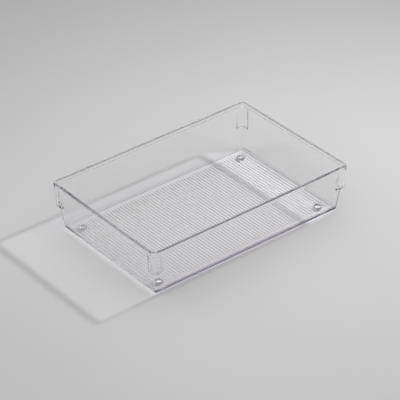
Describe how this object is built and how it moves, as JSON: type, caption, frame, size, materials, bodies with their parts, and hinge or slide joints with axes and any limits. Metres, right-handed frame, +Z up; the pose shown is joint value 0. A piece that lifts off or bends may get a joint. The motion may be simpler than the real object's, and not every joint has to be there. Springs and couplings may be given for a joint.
{
  "type": "drawer organizer insert",
  "caption": "Clear rectangular drawer organizer tray with leaning walls, a rounded lip, a ribbed floor, hollow stacking lugs at the corners and small stick-on feet.",
  "frame": {"origin": "on the surface that the feet stand on, under the middle of the tray", "axes": "+X along the long side, +Y along the short side towards the rear, +Z up out of the open mouth"},
  "size_m": [0.2286, 0.1524, 0.0508],
  "materials": {
    "clear_plastic": "glass-clear polished moulding with a faint violet tint at its edges",
    "clear_rubber": "soft clear rubber, slightly satin",
    "clear_adhesive": "thin clear pressure-sensitive adhesive"
  },
  "bodies": {
    "root": {"tray_body": "clear_plastic", "foot_front_left": "clear_rubber", "foot_front_right": "clear_rubber", "foot_rear_left": "clear_rubber", "foot_rear_right": "clear_rubber", "foot_adhesive_front_left": "clear_adhesive", "foot_adhesive_front_right": "clear_adhesive", "foot_adhesive_rear_left": "clear_adhesive", "foot_adhesive_rear_right": "clear_adhesive"}
  },
  "joints": []
}
